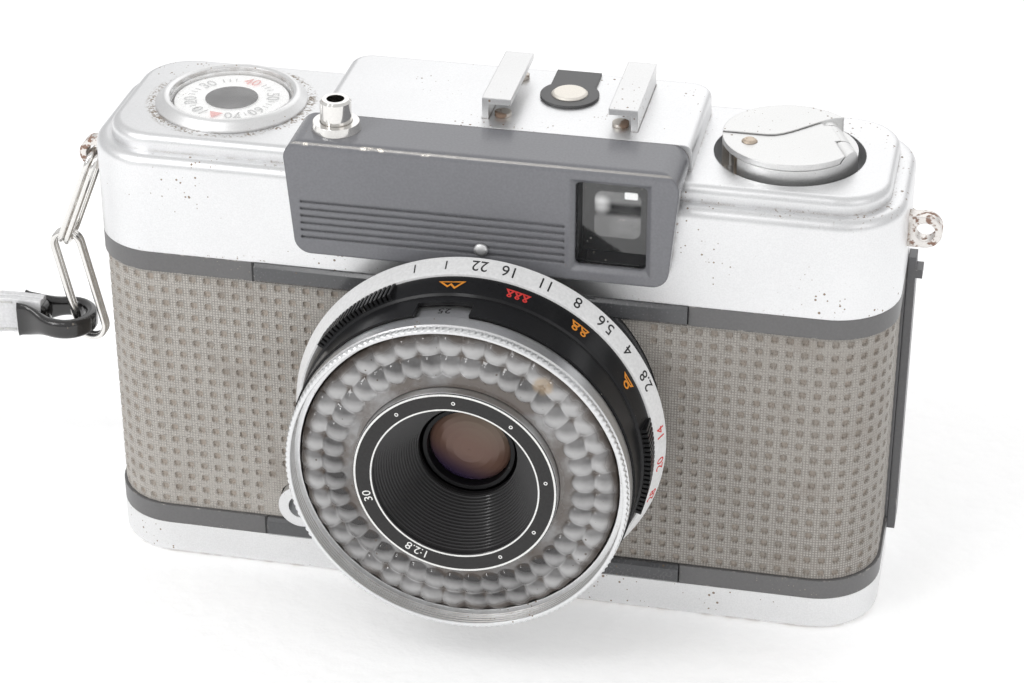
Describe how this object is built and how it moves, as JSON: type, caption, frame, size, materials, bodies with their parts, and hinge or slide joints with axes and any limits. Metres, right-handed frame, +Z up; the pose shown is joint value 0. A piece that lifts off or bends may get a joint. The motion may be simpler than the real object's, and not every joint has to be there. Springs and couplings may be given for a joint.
{
  "type": "half frame camera",
  "caption": "Compact film camera with a ring light cell round the lens, top thumbwheel advance, folding rewind crank, accessory shoe, hinged back and a wrist strap.",
  "frame": {"origin": "centre of the tripod socket's mouth in the plane of the base", "axes": "+X towards the rewind crank, to the right as seen from the front; +Y towards the hinged back; +Z up"},
  "size_m": [0.2219, 0.0502, 0.0722],
  "materials": {
    "satin_chrome": "satin chrome with rust specks",
    "bright_chrome": "polished",
    "wire": "bright nickel wire",
    "steel": "plain",
    "grey_paint": "semi-gloss grey, chipped",
    "leatherette": "woven grain",
    "black_paint": "satin black",
    "casting": "die casting, matt black",
    "brass": "plain",
    "clear_glass": "clear",
    "coated_glass": "coated",
    "bubble_glass": "moulded with small bubbles of lens",
    "selenium": "dark cell plate",
    "black_plastic": "satin",
    "white_plastic": "printed",
    "vinyl": "pale grey vinyl"
  },
  "bodies": {
    "body": {"chassis": "casting", "top_cover": "satin_chrome", "base_cover": "satin_chrome", "trim_bands": "grey_paint", "escutcheon": "grey_paint", "skin_left": "leatherette", "skin_right": "leatherette", "faceplate": "grey_paint", "index_bead": "white_plastic", "finder_window": "clear_glass", "finder_housing": "black_plastic", "finder_lens": "clear_glass", "eyepiece_lens": "clear_glass", "release_collar": "bright_chrome", "counter_bezel": "satin_chrome", "counter_window": "clear_glass", "counter_bridge": "brass", "shoe_rails": "satin_chrome", "shoe_insulator": "black_plastic", "shoe_contact": "bright_chrome", "screws": "bright_chrome", "strap_lugs": "bright_chrome", "sync_socket": "satin_chrome", "tripod_bush": "brass", "shutter_case": "casting", "index_sleeve": "black_paint", "light_cell": "selenium", "cell_glass": "bubble_glass", "lens_cone": "black_paint", "meter": "casting", "hinge_pin": "steel"},
    "release": {"release_button": "bright_chrome"},
    "advance": {"thumbwheel": "black_plastic", "take_up_spool": "black_plastic"},
    "sprocket": {"sprocket": "casting"},
    "counter": {"counter_dial": "white_plastic"},
    "rewind_lift": {"rewind_ring": "satin_chrome"},
    "rewind": {"rewind_knob": "satin_chrome", "rewind_fork": "steel"},
    "crank": {"rewind_crank": "satin_chrome", "crank_knob": "satin_chrome"},
    "door": {"back_door": "grey_paint", "door_skin": "leatherette", "pressure_plate": "black_paint"},
    "latch": {"back_latch": "grey_paint"},
    "rewind_release": {"rewind_button": "bright_chrome"},
    "aperture": {"aperture_ring": "satin_chrome"},
    "focus": {"focus_ring": "black_paint"},
    "film_speed": {"film_speed_ring": "satin_chrome"},
    "lens": {"lens_cell": "black_paint", "front_element": "coated_glass", "rear_element": "coated_glass"},
    "blade_upper": {"blade_a": "steel"},
    "blade_lower": {"blade_b": "steel"},
    "needle": {"meter_needle": "steel"},
    "link_upper": {"chain_link_upper": "wire"},
    "link_lower": {"chain_link_lower": "wire"},
    "strap": {"strap_loop": "black_plastic", "wrist_strap": "vinyl"}
  },
  "joints": [
    {"name": "release_press", "type": "slide", "parent": "body", "child": "release", "axis": [0, 0, -1], "range_m": [0, 0.002], "stiffness_N_per_m": 150},
    {"name": "advance_turn", "type": "hinge", "parent": "body", "child": "advance", "pos_m": [-0.0368, 0.0026, 0.0556], "axis": [0, 0, 1], "continuous": true},
    {"name": "sprocket_turn", "type": "hinge", "parent": "body", "child": "sprocket", "pos_m": [-0.0208, 0.0026, 0.03], "axis": [0, 0, 1], "continuous": true},
    {"name": "counter_turn", "type": "hinge", "parent": "body", "child": "counter", "pos_m": [-0.0372, 0, 0.064], "axis": [0, 0, 1], "continuous": true},
    {"name": "rewind_pull", "type": "slide", "parent": "body", "child": "rewind_lift", "axis": [0, 0, 1], "range_m": [0, 0.008]},
    {"name": "rewind_turn", "type": "hinge", "parent": "rewind_lift", "child": "rewind", "pos_m": [0.038, -0.0003, 0.062], "axis": [0, 0, 1], "continuous": true},
    {"name": "crank_fold", "type": "hinge", "parent": "rewind", "child": "crank", "pos_m": [0.0436, 0.0016, 0.0651], "axis": [-0.3859, 0.9225, 0], "range_deg": [0, 105]},
    {"name": "door_open", "type": "hinge", "parent": "body", "child": "door", "pos_m": [-0.0532, 0.0036, 0.027], "axis": [0, 0, 1], "range_deg": [0, 100]},
    {"name": "latch_slide", "type": "slide", "parent": "door", "child": "latch", "axis": [0, 0, -1], "range_m": [0, 0.003], "stiffness_N_per_m": 300},
    {"name": "rewind_release_press", "type": "slide", "parent": "body", "child": "rewind_release", "axis": [0, 0, 1], "range_m": [0, 0.0012], "stiffness_N_per_m": 200},
    {"name": "aperture_turn", "type": "hinge", "parent": "body", "child": "aperture", "pos_m": [0.0008, -0.0199, 0.0299], "axis": [0, -1, 0], "range_deg": [0, 100]},
    {"name": "focus_turn", "type": "hinge", "parent": "body", "child": "focus", "pos_m": [0.0008, -0.0239, 0.0299], "axis": [0, -1, 0], "range_deg": [0, 62]},
    {"name": "film_speed_turn", "type": "hinge", "parent": "body", "child": "film_speed", "pos_m": [0.0008, -0.032, 0.0299], "axis": [0, -1, 0], "range_deg": [0, 80]},
    {"name": "lens_travel", "type": "slide", "parent": "body", "child": "lens", "axis": [0, -1, 0], "range_m": [0, 0.001]},
    {"name": "blade_upper_swing", "type": "hinge", "parent": "body", "child": "blade_upper", "pos_m": [0.0008, -0.0101, 0.0419], "axis": [0, -1, 0], "range_deg": [0, 27]},
    {"name": "blade_lower_swing", "type": "hinge", "parent": "body", "child": "blade_lower", "pos_m": [0.0008, -0.0105, 0.0179], "axis": [0, -1, 0], "range_deg": [0, 27]},
    {"name": "needle_swing", "type": "hinge", "parent": "body", "child": "needle", "pos_m": [-0.0025, -0.003, 0.057], "axis": [0, 0, 1], "range_deg": [-20, 20], "stiffness_Nm_per_rad": 0.0005},
    {"name": "link_upper_swing", "type": "hinge", "parent": "body", "child": "link_upper", "pos_m": [-0.0562, -0.00175, 0.056], "axis": [0, 1, 0], "range_deg": [0, 45]},
    {"name": "link_lower_swing", "type": "hinge", "parent": "link_upper", "child": "link_lower", "pos_m": [-0.0619, -0.00175, 0.0424], "axis": [0, 1, 0], "range_deg": [0, 25]},
    {"name": "strap_swing", "type": "hinge", "parent": "link_lower", "child": "strap", "pos_m": [-0.0593, -0.00175, 0.0291], "axis": [0, 0, 1], "range_deg": [-12, 12]}
  ],
  "couplings": [
    {"joint": "sprocket_turn", "follows": "advance_turn", "ratio": -1},
    {"joint": "counter_turn", "follows": "advance_turn", "ratio": 0.03333},
    {"joint": "lens_travel", "follows": "focus_turn", "m_per_rad": 0.000924},
    {"joint": "blade_lower_swing", "follows": "blade_upper_swing", "ratio": 1}
  ]
}
